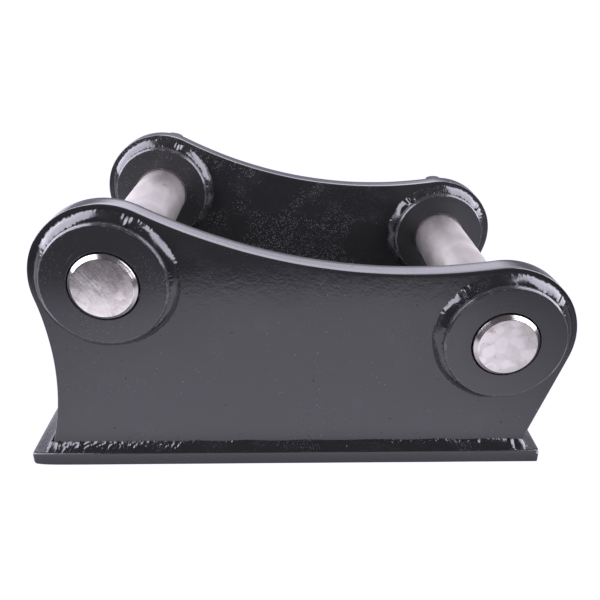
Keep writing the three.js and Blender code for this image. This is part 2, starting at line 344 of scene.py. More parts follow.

# %% [markdown]
# ## Turned steel
#
# The pins are bright bar, turned and then handled. Along the shaft the tool leaves fine rings round
# the bar; on the end faces it leaves arcs about a point well off the pin, whose distance is the
# attribute `sweep`. Oil and fingers leave rounded blotches, darker or lighter, and rust has started
# a few pits. The high pin's end face is painted lighter than the low one's: painted light, for the
# brighter reflection it shows. The attribute `end` is 1 on the end faces, and `rim` on the smooth
# chamfers.

# %% Steel for the pins
def pin_finish(start, place):
    sweep = start.attribute("sweep")
    end = start.attribute("end")
    drawn = start.node("ShaderNodeCombineXYZ", None, {0: sweep * 1500.0, 1: place.along((9, 0, 12)), 2: 0.0})
    arcs = drawn.noise(1.0, 4, 0.7)
    rings = place.scaled(14, 1700, 14).noise(1.0, 3, 0.6)
    tool = arcs * end + rings * (1.0 - end)
    smear = place.scaled(1, 0.5, 1).noise(46, 4, 0.6, 0.6)
    blot = (place.cells(130) + place.noise(420, 2) * 0.12).step(0.72, 0.5)
    blot = blot * place.noise(50, 2).step(0.34, 0.5)
    stain = place.scaled(1, 0.35, 1).noise(70, 5, 0.7).step(0.56, 0.75)
    pits = grains(place, 420, 0.17, 0.26, 60, 0.47)
    tint = smear.step(0.3, 0.72).blend((0.43, 0.398, 0.371, 1), (0.56, 0.529, 0.497, 1))
    tint = (stain * 0.55).blend(tint, (0.24, 0.195, 0.175, 1))
    tint = (blot * end * 0.8).blend(tint, (0.61, 0.581, 0.549, 1))
    # Painted light: the steel's colour is scaled up on the end faces, and further on the high pin's end face,
    # standing in for the brighter reflection it shows.
    polish_and_painted_light = 0.7 + end * (0.14 + place.along((1, 0, 0)).step(0.05, -0.05) * 0.3)
    tint = tint.node("ShaderNodeVectorMath", {"operation": "SCALE"}, {0: tint, 3: polish_and_painted_light})
    colour = (pits * 0.9).blend(tint, (0.05, 0.04, 0.038, 1))
    rough = 0.5 + smear * 0.1 - tool * 0.1 - end * 0.33 - start.attribute("rim") * 0.3
    relief = tool * 0.8 + place.noise(300, 2) * 0.5 - pits * 3.0
    return {"Base Color": colour, "Roughness": rough, "Metallic": 1.0,
            "Normal": bump(start, relief, 0.00006)}


pin_steel = finish("turned_pin_steel", pin_finish)

# %% [markdown]
# ## Black oxide
#
# High-tensile bolts, washers and nuts come blackened, not painted. The oxide is thin: it lets some
# of the metal's shine through, and it rubs to bare steel on the hexagon's corners.

# %% Black oxide for the fasteners
def oxide_finish(start, place):
    rim = start.attribute("rim")
    grain = place.noise(900, 4, 0.6)
    patch = place.noise(160, 3)
    rubbed = (rim * 1.3 - patch).step(0.5, 0.85)
    colour = rubbed.blend(patch.blend(grey(0.004), grey(0.013, 0.04)), grey(0.2, 0.02))
    rough = 0.36 + grain * 0.12 - rubbed * 0.1
    return {"Base Color": colour, "Roughness": rough, "Metallic": rubbed * 0.8, "IOR": 1.3,
            "Normal": bump(start, grain + patch, 0.00005)}


black_oxide = finish("black_oxide_fastener", oxide_finish)

# %% [markdown]
# ## From arrays to meshes
#
# Every shape below ends as a grid of points. `shell` turns a grid into faces by index arithmetic:
# row i, column j joins the next row and column. A closed way wraps to its start, and an end that
# should be solid is fanned to one middle point.

# %% Mesh helpers
def outward_mesh(name, points, faces):
    """A mesh from points in mm, with its faces turned outwards."""
    mesh = bpy.data.meshes.new(name)
    mesh.from_pydata((np.asarray(points) * MM).tolist(), [], faces)
    shape = bmesh.new()
    shape.from_mesh(mesh)
    bmesh.ops.recalc_face_normals(shape, faces=shape.faces)
    shape.to_mesh(mesh)
    shape.free()
    return mesh


def add_piece(name, points, faces, material, body, slot, stands_for=(), **attributes):
    """A piece of the bracket on its body, with one value per point for each attribute."""
    mesh = outward_mesh(name, points, faces)
    mesh.shade_smooth()
    for key, values in attributes.items():
        made = mesh.attributes.new(key, "FLOAT", "POINT")
        made.data.foreach_set("value", np.asarray(values, dtype=np.float32))
    mesh.materials.append(material)
    piece = placed(name, mesh)
    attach(piece, body)
    if stands_for:
        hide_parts(*stands_for)
    return piece


def shell(grid, wrap_rows=False, cap_ends=False):
    """(points, faces) of a grid whose columns wrap.

    Its rows wrap too, or each end row is fanned to its mean point.
    """
    rows, cols = grid.shape[:2]
    index = np.arange(rows * cols).reshape(rows, cols)
    here = index if wrap_rows else index[:-1]
    after = np.roll(index, -1, axis=0)[: len(here)]
    quads = np.stack([here, np.roll(here, -1, 1), np.roll(after, -1, 1), after], -1).reshape(-1, 4).tolist()
    points = grid.reshape(-1, 3)
    if cap_ends:
        for row in (0, rows - 1):
            middle = len(points)
            points = np.vstack([points, grid[row].mean(axis=0)])
            around = index[row]
            quads += np.stack([around, np.roll(around, -1), np.full(cols, middle)], -1).tolist()
    return points, quads


def slow_wave(s, period, amount, seed, waves=5):
    """Smooth closed noise: sines whose counts round the period are whole, with seeded phases and sizes."""
    rng = np.random.default_rng(seed)
    counts = rng.integers(2, 2 + 4 * waves, waves)
    phases = rng.uniform(0, 2 * math.pi, waves)
    sizes = rng.uniform(0.4, 1.0, waves) / np.sqrt(counts)
    angle = 2 * math.pi * counts[:, None] * np.ravel(s)[None] / period + phases[:, None]
    total = (sizes[:, None] * np.sin(angle)).sum(0)
    return (amount * total / sizes.sum()).reshape(np.shape(s))


def lumps(s, v, period, width, size, seed, waves=26, low=1.6, high=7.0, drawn=1.0):
    """Lumps on a bead: sines of random direction over (distance along, place across), closed round the run.

    Each has a wavelength between low and high and a height in proportion to it, so that all of
    them tilt the surface about equally. They are drawn out along the bead by the last number.
    """
    rng = np.random.default_rng(seed)
    length = rng.uniform(low, high, waves)
    angle = rng.uniform(-1.25, 1.25, waves)
    counts = np.round(period * np.cos(angle) / (length * drawn))
    over = np.sin(angle) / length
    phase = rng.uniform(0, 2 * math.pi, waves)
    total = np.zeros(np.broadcast(s, v).shape)
    for k in range(waves):
        wave = 2 * math.pi * (counts[k] * s / period + over[k] * v * width) + phase[k]
        total = total + length[k] * np.sin(wave)
    return size * total / (np.sqrt(waves) * length.mean())


def softened(corners, radius, steps, support=0.0, closed=True):
    """A polyline whose corners are arcs tangent to both sides, with a point a little way off each arc.

    radius is one size or one per corner; a corner of radius 0 stays as it is. In words: the arc
    starts and ends r / tan(half angle) from the corner, and its points turn evenly between the
    two sides' normals.
    """
    corners = np.asarray(corners, dtype=float)
    radius = np.broadcast_to(radius, len(corners))
    made = []
    for i, corner in enumerate(corners):
        ends = not closed and i in (0, len(corners) - 1)
        if ends or radius[i] == 0:
            made.append(corner[None])
            continue
        back, ahead = corners[i - 1] - corner, corners[(i + 1) % len(corners)] - corner
        back, ahead = back / np.linalg.norm(back), ahead / np.linalg.norm(ahead)
        half = math.acos(np.clip(back @ ahead, -1, 1)) / 2
        reach = radius[i] / math.tan(half)
        middle = corner + (back + ahead) / np.linalg.norm(back + ahead) * radius[i] / math.sin(half)
        a, b = corner + back * reach - middle, corner + ahead * reach - middle
        t = np.linspace(0, 1, steps)[:, None]
        opening = math.acos(np.clip(a @ b / radius[i] ** 2, -1, 1))
        arc = middle + (a * np.sin((1 - t) * opening) + b * np.sin(t * opening)) / math.sin(opening)
        if support:
            arc = np.vstack([corner + back * (reach + support), arc, corner + ahead * (reach + support)])
        made.append(arc)
    return np.vstack(made)


print("helpers ready")

# %% [markdown]
# ## Plates with worn edges
#
# Ears and base plate are flat cut plates. Their outline is carried through the thickness by a
# profile: a strip of the face, a rounded edge, the straight side, a rounded edge and a strip of the
# other face. The rounding's radius wanders along the outline, as it does after grinding. The flat
# middle is filled with triangles.

# %% Build a plate from its outlines
def miters(outline):
    """Outward miter vectors of a closed outline that runs counter-clockwise (or clockwise for a hole).

    Each side's normal is its direction turned to the right. A corner's miter is the sum of its two
    normals over one plus their dot product, so that moving by it moves both sides by one.
    """
    ahead = np.roll(outline, -1, 0) - outline
    ahead /= np.linalg.norm(ahead, axis=1)[:, None]
    normal = np.stack([ahead[:, 1], -ahead[:, 0]], -1)
    before = np.roll(normal, 1, 0)
    return (normal + before) / (1 + (normal * before).sum(1))[:, None]


def plate_grid(outline, low, high, round_low, round_high, strip, steps=6):
    """Rows of (inset, height) carried round the outline.

    A rounded edge of radius r at angle a is inset by r(1 - sin a) and stands r(1 - cos a) inside its
    face. Both radii may change from point to point.
    """
    a = np.linspace(0, math.pi / 2, steps)[:, None]
    count = len(outline)
    face = np.full((1, count), strip)
    insets = [face, round_low * (1 - np.sin(a)), np.zeros((2, count)),
              (round_high * (1 - np.sin(a)))[::-1], face]
    third = (high - low) / 3
    heights = [np.full((1, count), low), low + round_low * (1 - np.cos(a)),
               np.array([[low + third], [high - third]]).repeat(count, 1),
               (high - round_high * (1 - np.cos(a)))[::-1], np.full((1, count), high)]
    inset, height = np.vstack(insets), np.vstack(heights)
    flat = outline[None] - miters(outline)[None] * inset[..., None]
    rim = np.ones_like(inset)
    rim[[0, -1]] = 0
    rim[[1, -2]] = 0.35
    return np.concatenate([flat, height[..., None]], -1), rim


def plate(name, node, outlines, low, high, rounds, stand, strip=2.4):
    """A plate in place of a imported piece: the first outline is the outside, the rest are holes.

    stand(points) turns (u, v, height) into (x, y, z).
    """
    points, faces, rims, bottom, top = [], [], [], [], []
    start = 0
    for outline, (round_low, round_high) in zip(outlines, rounds):
        grid, rim = plate_grid(outline, low, high, round_low, round_high, strip)
        ring_points, ring_faces = shell(grid)
        faces += (np.array(ring_faces) + start).tolist()
        points.append(ring_points)
        rims.append(rim.ravel())
        count = len(outline)
        bottom.append(np.arange(start, start + count))
        top.append(np.arange(start + len(ring_points) - count, start + len(ring_points)))
        start += len(ring_points)
    points = np.vstack(points)
    for loops in (bottom, top):
        names = np.concatenate(loops)
        filled = tessellate_polygon([[Vector((*points[i][:2], 0)) for i in loop] for loop in loops])
        faces += names[np.array(filled)].tolist()
    piece = add_piece(name, stand(points), faces, enamel, "frame", "black_paint", (node,),
                      rim=np.concatenate(rims))
    print(name, len(piece.data.polygons), "faces")
    return piece


# %% [markdown]
# ## Base plate
#
# A sheared rectangle of 10 mm plate. Its corners were knocked round when it was handled, the one
# under the high pin most of all.

# %% Base plate
def base_outline():
    """The rectangle with rounded corners, with points every few millimetres."""
    (x0, y0), (x1, y1) = base_low[:2], base_high[:2]
    corners = [(x0, y0), (x1, y0), (x1, y1), (x0, y1)]
    loop = softened(corners, [2.2, 0.9, 1.2, 1.0], 9, support=3.0)
    ahead = np.roll(loop, -1, 0)
    counts = np.maximum(1, np.linalg.norm(ahead - loop, axis=1) // 4).astype(int)
    return np.vstack([a + (b - a) * np.arange(n)[:, None] / n for a, b, n in zip(loop, ahead, counts)])


outline = base_outline()
along = np.arange(len(outline))
knock = np.exp(-np.linalg.norm(outline - base_low[:2], axis=1) / 6)
edge_low = 0.7 + slow_wave(along, len(outline), 0.25, 3) + 3.2 * knock
edge_high = 0.42 + slow_wave(along, len(outline), 0.2, 4) + 0.7 * knock
plate("sheared_base_plate", "base_plate", [outline], base_low[2], base_high[2],
      [(edge_low, edge_high)], lambda p: p)

# %% [markdown]
# ## Ears
#
# An ear is one flame-cut plate. Its outline is a round lobe about each pin, a hollow arc between
# the lobes, a tighter hollow arc behind the high pin, and a straight front edge, all running
# tangent into one another. The cutter wandered a few hundredths of a millimetre, and so does the
# outline.

# %% The outline of an ear
def crossing(a, ra, b, rb):
    """Where circles about a and b cross, on the left of the way from a to b."""
    gap = b - a
    reach = np.linalg.norm(gap)
    along = (reach ** 2 + ra ** 2 - rb ** 2) / (2 * reach)
    unit = gap / reach
    return a + unit * along + np.array([-unit[1], unit[0]]) * math.sqrt(ra ** 2 - along ** 2)


def angle_from(centre, point):
    return math.atan2(point[1] - centre[1], point[0] - centre[0])


def arc(centre, radius, start, end, turn, spacing=1.6):
    """Points on a circle between two angles, counter-clockwise where turn is 1 and clockwise where -1."""
    sweep = ((end - start) * turn) % (2 * math.pi) * turn
    angles = start + sweep * np.linspace(0, 1, max(3, int(abs(sweep) * radius / spacing)))
    return centre + radius * np.stack([np.cos(angles), np.sin(angles)], -1)


def ear_outline():
    high, low = pin_at["left"], pin_at["right"]
    back_foot, front_foot = np.array([-FOOT_HALF, FOOT_Z]), np.array([FOOT_HALF, FOOT_Z])
    top = low + high - crossing(low, TOP_ARC_R + LOBE_R, high, TOP_ARC_R + LOBE_R)
    back = crossing(back_foot, BACK_ARC_R, high, BACK_ARC_R + LOBE_R)
    tangent = angle_from(low, front_foot) + math.acos(LOBE_R / np.linalg.norm(front_foot - low))
    t = np.linspace(0, 1, 90)[:-1, None]
    parts = [
        back_foot + (front_foot - back_foot) * t,
        arc(low, LOBE_R, tangent, angle_from(low, top), 1),
        arc(top, TOP_ARC_R, angle_from(top, low), angle_from(top, high), -1)[1:-1],
        arc(high, LOBE_R, angle_from(high, top), angle_from(high, back), 1),
        arc(back, BACK_ARC_R, angle_from(back, high), angle_from(back, back_foot), -1)[1:-1],
    ]
    edge = low + LOBE_R * np.array([math.cos(tangent), math.sin(tangent)])
    parts.insert(1, front_foot + (edge - front_foot) * np.linspace(0, 1, 24)[:-1, None])
    loop = np.vstack(parts)
    wander = 0.07 + slow_wave(np.arange(len(loop)), len(loop), 0.05, 11, 9)
    return loop - miters(loop) * wander[:, None]


def bore_outline(side):
    """A clockwise circle of 120 points, so that its outward side is the hole."""
    a = np.linspace(0, -2 * math.pi, 120, endpoint=False)
    return pin_at[side] + BORE_R * np.stack([np.cos(a), np.sin(a)], -1)


ear_loop = ear_outline()
print("ear outline has", len(ear_loop), "points and is", round(float(np.ptp(ear_loop[:, 0])), 1), "mm long")

# %% Both ears
EARS = [("near_cut_ear", "near_ear", -EAR_OUT, 21), ("far_cut_ear", "far_ear", EAR_IN, 31)]
for name, node, low, seed in EARS:
    steps = np.arange(len(ear_loop))
    edges = [0.62 + slow_wave(steps, len(steps), 0.3, seed + k, 8) for k in (0, 1)]
    rounds = [edges] + [(np.full(120, 0.4), np.full(120, 0.4))] * 2
    plate(name, node, [ear_loop, bore_outline("left"), bore_outline("right")],
          low, low + EAR_OUT - EAR_IN, rounds, lambda p: p[:, [0, 2, 1]])

# %% [markdown]
# ## Turned rings
#
# A ring is a lathe job: a closed outline of radius and distance along the axis, spun round it. Each
# corner is a small arc with a point a little way off it on either side, so that smooth shading
# stays on the arc and the flats stay flat.

# %% Spin an outline about a pin's axis
def once_round(steps):
    """Evenly spaced angles round a circle, without the last one that meets the first."""
    return np.linspace(0, 2 * math.pi, steps, endpoint=False)


def spun(profile, side, steps=160):
    """Grid of an outline (radius, y) spun about a pin's axis: x = cx + r cos a, z = cz + r sin a."""
    a = once_round(steps)[None]
    r, y = profile[:, :1], profile[:, 1:]
    cx, cz = pin_at[side]
    return np.stack([cx + r * np.cos(a), y + 0 * a, cz + r * np.sin(a)], -1)


def nearness(points, corners, side, reach=1.1):
    """1 on a corner of the outline and 0 from reach away, for each point."""
    r = np.hypot(points[:, 0] - pin_at[side][0], points[:, 2] - pin_at[side][1])
    away = np.hypot(r[:, None] - corners[None, :, 0], points[:, 1][:, None] - corners[None, :, 1]).min(1)
    return np.clip(1 - away / reach, 0, 1)


def bore_mouth(points, corners, side):
    """1 round the mouth of the bore, 0 from half a millimetre away."""
    return np.clip(nearness(points, corners[4:], side, 0.9) * 1.6, 0, 1)


def from_axis(points, side):
    return np.hypot(points[:, 0] - pin_at[side][0], points[:, 2] - pin_at[side][1]) * MM


RING_CHAMFER = 1.2


def ring_corners(face, out, height, radius):
    """The outline of a ring that stands on a face and grows towards out (+1 or -1 along Y)."""
    tip = face + out * height
    return np.array([(BORE_R, face), (radius, face), (radius, tip - out * RING_CHAMFER),
                     (radius - RING_CHAMFER, tip), (BORE_R, tip)])


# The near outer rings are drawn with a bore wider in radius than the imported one, for the dark gap
# round the pin's end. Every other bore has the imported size.
OUTER_BORE_RELIEF = 0.6
RINGS = [("near_outer", -EAR_OUT, -1, 10.0), ("near_inner", -EAR_IN, 1, 13.0),
         ("far_inner", EAR_IN, -1, 13.0)]
for side in SIDES:
    for label, face, out, height in RINGS:
        corners = ring_corners(face, out, height, RING_R)
        corners[[0, 4], 0] += OUTER_BORE_RELIEF * (label == "near_outer")
        profile = softened(corners, [0.2, 0.2, 0.7, 0.7, 0.4], 6, support=0.3)
        points, faces = shell(spun(profile, side), wrap_rows=True)
        bare = bore_mouth(points, corners, side) * ("inner" in label)
        add_piece(f"{label}_faced_ring_{side}", points, faces, ring_paint, "frame", "black_paint",
                  (f"{label}_ring_{side}",), rim=nearness(points, corners[2:], side),
                  turn=from_axis(points, side), bore=bare)
print("six rings")

# %% [markdown]
# ## Weld beads
#
# A fillet bead fills the corner between a plate and a wall. Each run freezes in crescents, swells
# and thins with the welder's hand, and has a lump and a crater where one run stops and the next
# starts. So the bead is a section carried along its corner, and everything that varies is a
# function of the distance along the run.

# %% Carry a bead along a corner
def bead(name, node, root, out, rise, legs, seed, pitch=2.6, depth=0.012, rugged=0.05,
         grain=(1.8, 6.0), drawn=4.0, crown=0.6, stops=(), slim=None):
    """A weld bead round a closed path of corner points, with unit vectors along the plate and up the wall.

    v runs from 0 at the plate's toe to 1 at the wall's. The chord point is out * leg * (1 - v) +
    rise * leg * v. It is pushed out along the diagonal by crown * sin(pi v) ** 0.8 and by a ripple
    whose phase is (distance + bow * (2v - 1)^2) / pitch, so that each ripple is a crescent. Three
    hidden rows close the section inside the plate and the wall. Lumps of the size rugged roughen
    the face, and a quicker noise that fades within a sixth of the width frays both toes.
    """
    middle = root + out * legs[0] / 2
    step = np.linalg.norm(np.roll(middle, -1, 0) - middle, axis=1)
    s, total = np.concatenate([[0], np.cumsum(step)[:-1]]), step.sum()
    v = ((1 - np.cos(np.linspace(0, math.pi, 17))) / 2)[:, None]
    pitch = total / round(total / pitch)
    swell = 1 + slow_wave(s, total, 0.16, seed, 6)[None]
    phase = (s[None] + 2.4 * (2 * v - 1) ** 2) / pitch + slow_wave(s, total, 1.1, seed + 1, 7)[None]
    strength = np.clip(0.5 + slow_wave(s, total, 1.3, seed + 2, 6), 0.1, 1.1)[None]
    fray = lumps(s[None], 0 * v[:1], total, 1.0, 0.16, seed + 3, low=1.2, high=5.0)
    ripple = depth * strength * (np.abs(np.sin(math.pi * phase)) ** 0.7 - 0.6)
    lump = np.zeros_like(s)
    for share, size in stops:
        gap = (s - share * total + total / 2) % total - total / 2
        lump += size * (np.exp(-((gap / 1.3) ** 2)) - 0.7 * np.exp(-(((gap - 3.0) / 1.6) ** 2)))
    body = np.sin(math.pi * v)
    rough = lumps(s[None], v, total, 1.3 * legs[0], rugged, seed + 4, 30, *grain, drawn) * (0.5 + strength)
    push = crown * swell * body ** 0.8 + (ripple + rough + lump[None]) * body ** 0.6
    leg_out, leg_up = legs[0] * swell + ripple * 1.3, legs[1] * (2 - swell) + ripple * 0.8
    if slim is not None:
        leg_up = leg_up * slim[None]
    leg_out, leg_up = leg_out * (1 - v) + fray * (1 - v) ** 6, leg_up * v - fray * 0.7 * v ** 6
    diagonal = out * legs[1] + rise * legs[0]
    diagonal /= np.linalg.norm(diagonal, axis=1)[:, None]
    grid = (root[None] + out[None] * leg_out[..., None] + rise[None] * leg_up[..., None]
            + diagonal[None] * push[..., None])
    hidden = [grid[-1] - out * 0.5, root - out * 0.5 - rise * 0.25, grid[0] - rise * 0.25]
    toe = np.exp(-v / 0.07) + 0.5 * np.exp(-(1 - v) / 0.05) + 0 * s[None]
    points, faces = shell(np.vstack([grid, hidden]), wrap_rows=True)
    toe = np.concatenate([toe.ravel(), np.ones(3 * len(s))])
    return add_piece(name, points, faces, bead_paint, "frame", "painted_weld", (node,),
                     toe=np.clip(toe, 0, 1))


# %% Beads round the rings and collars
def ring_corner(side, radius, y, out, count=840):
    """Corner points round a pin's axis, with the radial direction and the way the wall rises."""
    a = once_round(count)
    radial = np.stack([np.cos(a), 0 * a, np.sin(a)], -1)
    root = radius * radial + np.array([pin_at[side][0], y, pin_at[side][1]])
    return root, radial, np.broadcast_to([0.0, out, 0.0], radial.shape), a


STOPS = {"left": [(0.183, 1.0), (0.70, 0.5)], "right": [(0.10, 0.5), (0.36, 0.9)]}
for side in SIDES:
    for k, (label, face, out, height) in enumerate(RINGS):
        root, radial, rise, a = ring_corner(side, RING_R, face, out)
        bead(f"{label}_bead_{side}", f"{label}_ring_weld_{side}", root, radial, rise, (6.0, 6.0),
             40 + 10 * k + 5 * len(side), stops=STOPS[side])
    root, radial, rise, a = ring_corner(side, COLLAR_R, EAR_OUT, 1)
    bolt_way = math.pi / 2 - LEAN[side]
    clear = 1 - 0.3 * np.exp(-((np.sin(a - bolt_way) / 0.3) ** 2))
    bead(f"far_collar_bead_{side}", f"far_collar_weld_{side}", root, radial, rise, (5.0, 5.0),
         80 + 5 * len(side), stops=[(0.6, 0.6)], slim=clear)
print("eight round beads")

# %% [markdown]
# ## Beads round the feet
#
# The same section follows the foot of each ear: along both sides and round both ends, where it
# turns through a tight corner and fans out on the base plate.

# %% Beads round the feet of the ears
def foot_corner(middle_y, spacing=0.38):
    """Corner points round an ear's foot, a long round-cornered rectangle, and its outward normals."""
    half = (EAR_OUT - EAR_IN) / 2
    corners = [(-FOOT_HALF, -half), (FOOT_HALF, -half), (FOOT_HALF, half), (-FOOT_HALF, half)]
    loop = softened(corners, 0.7, 15)
    ahead = np.roll(loop, -1, 0)
    counts = np.maximum(1, np.linalg.norm(ahead - loop, axis=1) // spacing).astype(int)
    loop = np.vstack([p + (q - p) * np.arange(n)[:, None] / n for p, q, n in zip(loop, ahead, counts)])
    normal = miters(loop)
    normal /= np.linalg.norm(normal, axis=1)[:, None]
    height = np.full((len(loop), 1), FOOT_Z)
    root = np.hstack([loop + [0, middle_y], height])
    return root, np.hstack([normal, 0 * height]), np.broadcast_to([0.0, 0.0, 1.0], root.shape)


FOOT_STOPS = [(0.014, 0.9), (0.035, 0.6), (0.2, 0.3), (0.43, 0.3), (0.463, 0.8), (0.62, 0.6), (0.86, 0.6)]
for label, way, seed in (("near", -1, 7), ("far", 1, 8)):
    root, normal, rise = foot_corner(way * (EAR_OUT + EAR_IN) / 2)
    bead(f"{label}_foot_bead", f"{label}_foot_weld", root, normal, rise, (5.8, 5.8), seed, pitch=2.4,
         depth=0.085, rugged=0.075, grain=(0.9, 4.0), drawn=1.2, crown=0.4, stops=FOOT_STOPS)
print("two foot beads")

# %% [markdown]
# ## Spatter
#
# A few balls of metal froze on the plates beside the beads and were painted over. Each is a small
# ball sunk a little into the face, so one small grid serves for all of them.

# %% Spatter
def balls(centres, radii):
    """Small balls as one set of points and faces: a five by eight grid of a sphere, scaled and moved."""
    polar = np.linspace(0.35, math.pi - 0.35, 5)[:, None]
    around = once_round(8)[None]
    unit = np.stack([np.sin(polar) * np.cos(around), np.cos(polar) + 0 * around,
                     np.sin(polar) * np.sin(around)], -1)
    points, faces = shell(unit, cap_ends=True)
    every = centres[:, None] + radii[:, None, None] * points[None]
    moved = [[i + k * len(points) for i in face] for k in range(len(centres)) for face in faces]
    return every.reshape(-1, 3), moved


rng = np.random.default_rng(5)
for name, y in (("near_spatter", -EAR_OUT), ("far_spatter", EAR_OUT)):
    places = []
    for side in SIDES:
        a, r = rng.uniform(-2.6, -0.5, 7), rng.uniform(51, 60, 7)
        places.append(np.stack([pin_at[side][0] + r * np.cos(a), pin_at[side][1] + r * np.sin(a)], -1))
    places.append(np.stack([rng.uniform(-120, 150, 14), FOOT_Z + rng.uniform(7, 12, 14)], -1))
    places = np.vstack(places)
    places = places[(np.abs(places[:, 0]) < 160) & (places[:, 1] > FOOT_Z + 6.5)]
    size = rng.uniform(0.22, 0.5, len(places))
    centres = np.stack([places[:, 0], np.full(len(places), float(y)), places[:, 1]], -1)
    points, faces = balls(centres, size)
    add_piece(name, points, faces, bead_paint, "frame", "painted_weld", toe=np.zeros(len(points)))
    print(name, len(places), "balls")

# %% [markdown]
# ## Cutting holes
#
# A hole across a round piece makes a saddle-shaped edge, which a Boolean modifier works out
# exactly. The result is kept as the mesh and the cutter is thrown away.

# %% Cut along a bolt's line
BOLT_Y = 132.5
BOLT_HOLE_R, SPOT_FACE_R = 4.75, 9.0


def on_bolt_line(points, side):
    """Points (x, y, height along the bolt) put on the bolt's line.

    The line leans in the XZ plane and runs through the pin's axis.
    """
    lean = LEAN[side]
    x, y, h = points[..., 0], points[..., 1], points[..., 2]
    cx, cz = pin_at[side]
    return np.stack([cx + x * math.cos(lean) + h * math.sin(lean), y + BOLT_Y,
                     cz + h * math.cos(lean) - x * math.sin(lean)], -1)


def post(radii, heights, steps=48):
    """Grid of a round or faceted post: one radius, or one for each angle, at every height."""
    a = once_round(steps)[None]
    r = np.asarray(radii, dtype=float)
    r = r[:, None] + 0 * a if r.ndim == 1 else r
    return np.stack([r * np.cos(a), r * np.sin(a), np.asarray(heights, dtype=float)[:, None] + 0 * a], -1)


def cutter(side, radius, low, high, steps=72):
    """A closed post on the bolt's line, to be cut away."""
    points, faces = shell(on_bolt_line(post([radius, radius], [low, high], steps), side), cap_ends=True)
    return placed("cutter", outward_mesh("cutter", points, faces))


def cut(piece, tools, smooth_below, **attributes):
    """The piece less its cutters. Each attribute is worked out again from the new points, in mm."""
    for tool in tools:
        modifier = piece.modifiers.new("cut", "BOOLEAN")
        modifier.operation, modifier.solver, modifier.object = "DIFFERENCE", "EXACT", tool
    bpy.context.view_layer.update()
    result = bpy.data.meshes.new_from_object(piece.evaluated_get(bpy.context.evaluated_depsgraph_get()))
    piece.modifiers.clear()
    before, piece.data = piece.data, result
    bpy.data.meshes.remove(before)
    for tool in tools:
        bpy.data.objects.remove(tool)
    place = np.empty(len(result.vertices) * 3, dtype=np.float32)
    result.vertices.foreach_get("co", place)
    place = place.reshape(-1, 3) / MM
    for key, measure in attributes.items():
        kept = result.attributes.get(key) or result.attributes.new(key, "FLOAT", "POINT")
        kept.data.foreach_set("value", measure(place).astype(np.float32))
    result.shade_smooth()
    result.set_sharp_from_angle(angle=math.radians(smooth_below))
    print(piece.name, len(result.polygons), "faces after cutting")


# %% [markdown]
# ## Bolted collars
#
# On the far side a collar is welded to each ear. Two flats are spot-faced across it for the
# washers, and the bolt's hole runs through it from flat to flat.

# %% Collars
for side in SIDES:
    corners = ring_corners(EAR_OUT, 1, COLLAR_LENGTH, COLLAR_R)
    profile = softened(corners, [0.2, 0.2, 0.35, 0.35, 0.4], 9, support=0.4)
    points, faces = shell(spun(profile, side), wrap_rows=True)
    blank = np.zeros(len(points))
    collar = add_piece(f"bolted_collar_{side}", points, faces, ring_paint, "frame", "black_paint",
                       (f"far_collar_{side}",), rim=blank, turn=blank, bore=blank)
    tools = [cutter(side, BOLT_HOLE_R, -70, 70, 48), cutter(side, SPOT_FACE_R, SEAT, 70),
             cutter(side, SPOT_FACE_R, -70, -SEAT)]
    cut(collar, tools, 9, rim=lambda p: nearness(p, corners[2:], side),
        turn=lambda p: from_axis(p, side))

# %% [markdown]
# ## Pins
#
# Bright bar with a chamfer at each end. The bolt's hole crosses it inside the collar. The pin is a
# moving piece, so it rides on its own body.

# %% Pins
PIN_START, PIN_END = (float(c[1]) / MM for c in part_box("left_pin"))
PIN_CHAMFER = 2.5


def from_end(points):
    return np.minimum(points[:, 1] - PIN_START, PIN_END - points[:, 1])


for side in SIDES:
    small = PIN_R - PIN_CHAMFER
    corners = np.array([(5.0, PIN_START), (small, PIN_START), (PIN_R, PIN_START + PIN_CHAMFER),
                        (PIN_R, PIN_END - PIN_CHAMFER), (small, PIN_END), (5.0, PIN_END)])
    profile = softened(corners, [0, 0.35, 0.5, 0.5, 0.35, 0], 7, support=0.3, closed=False)
    points, faces = shell(spun(profile, side), cap_ends=True)
    blank = np.zeros(len(points))
    pin = add_piece(f"turned_pin_{side}", points, faces, pin_steel, f"{side}_pin", "pin_steel",
                    (f"{side}_pin",), end=blank, sweep=blank, rim=blank)
    cut(pin, [cutter(side, BOLT_HOLE_R, -40, 40, 48)], 9,
        sweep=lambda p: np.hypot(p[:, 0] - pin_at[side][0] + 55, p[:, 2] - pin_at[side][1] + 30) * MM,
        end=lambda p: 1 - np.clip(from_end(p) / 0.1, 0, 1),
        rim=lambda p: ((from_end(p) > 0.02) & (from_end(p) < 2.9)).astype(float))

# %% [markdown]
# ## Bolts, washers and lock nuts
#
# A hexagon is a circle whose radius changes with the angle: the distance to the flat over the
# cosine of the angle from the flat's middle. The lesser of that and a cone gives the turned chamfer
# on a head or a nut. The thread is a groove whose phase moves on by one pitch each turn.

# %% Hexagons and threads
APOTHEM = 6.5


def hexagon(steps):
    """Radius of the hexagon at each angle, with a flat across the bolt's lean and a corner along Y."""
    a = once_round(steps)
    return APOTHEM / np.cos((a + math.pi / 6) % (math.pi / 3) - math.pi / 6)


def coned(heights, top, steps, flat=5.7, slope=1.5):
    """The hexagon under a cone that opens from a flat of that radius at top."""
    return np.minimum(hexagon(steps)[None], flat + slope * np.abs(top - heights)[:, None])


